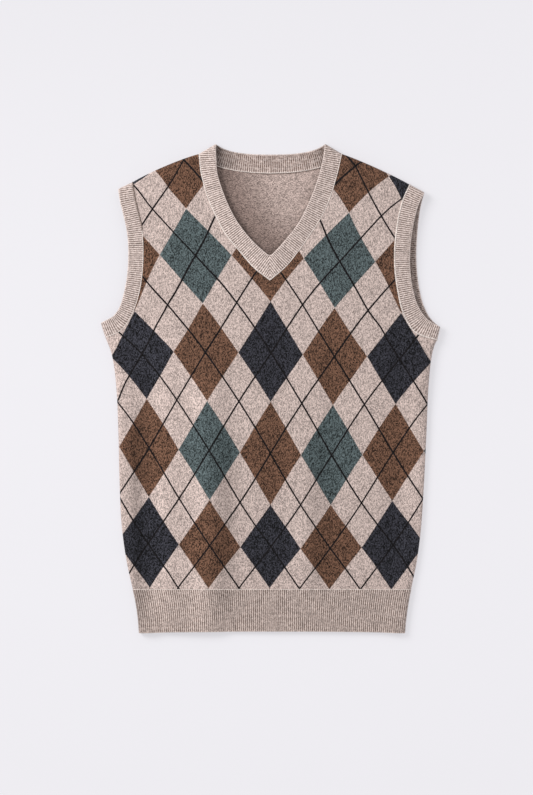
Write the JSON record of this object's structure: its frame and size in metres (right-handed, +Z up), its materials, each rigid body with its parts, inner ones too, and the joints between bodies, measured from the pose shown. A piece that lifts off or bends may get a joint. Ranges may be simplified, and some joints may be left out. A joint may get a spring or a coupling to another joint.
{
  "type": "knitted sweater vest",
  "caption": "Sleeveless V-neck knitted vest laid flat with its front up, with a ribbed hem, neck band and armhole bands.",
  "frame": {"origin": "on the ground under the middle of the vest as it lies", "axes": "+X to the right for someone who looks down at the front, +Y from the hem to the shoulders, +Z up out of the front"},
  "size_m": [0.476, 0.6852, 0.0116],
  "materials": {
    "argyle_knit": "heathered plain knit, matte, brushed",
    "plain_knit": "heathered plain knit, matte, brushed",
    "rib_knit": "heathered 1 x 1 rib, matte"
  },
  "bodies": {
    "root": {"front_panel": "argyle_knit", "back_panel": "plain_knit", "hem_rib_front": "rib_knit", "hem_rib_back": "rib_knit", "neck_band": "rib_knit", "armhole_band_left": "rib_knit", "armhole_band_right": "rib_knit"}
  },
  "joints": []
}
